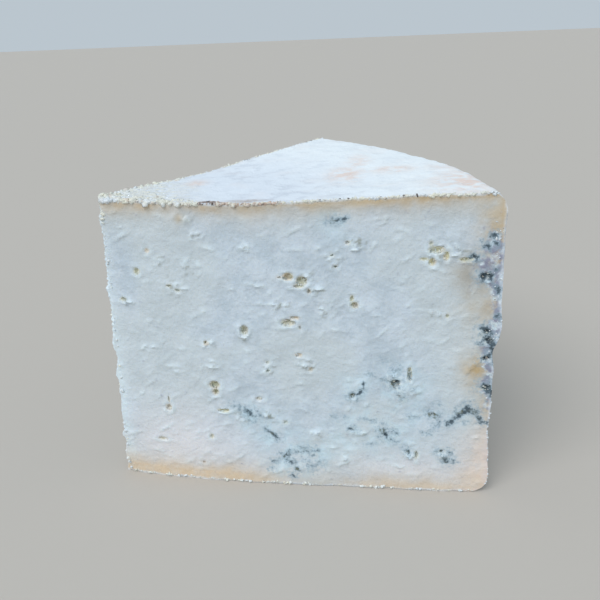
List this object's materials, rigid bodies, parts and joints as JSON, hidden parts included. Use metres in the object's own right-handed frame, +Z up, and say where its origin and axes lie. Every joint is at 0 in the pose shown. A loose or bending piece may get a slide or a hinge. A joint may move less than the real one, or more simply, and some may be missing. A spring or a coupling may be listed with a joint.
{
  "type": "blue cheese wedge",
  "caption": "One-sixth wedge of a tall natural-rind blue cheese wheel, standing upright, with crumbly cut faces, small openings and a rounded rind.",
  "frame": {"origin": "middle of the bounding box of the flat underside, on the surface that the wedge stands on", "axes": "+Z up, +X from the tip towards the rind along the first cut face, -Y the way that cut face looks"},
  "size_m": [0.1415, 0.1256, 0.113],
  "materials": {
    "cheese": "matt crumbly paste, pale with a faint blue cast, beige under a white-bloomed rind"
  },
  "bodies": {
    "root": {"cheese_wedge": "cheese"}
  },
  "joints": []
}
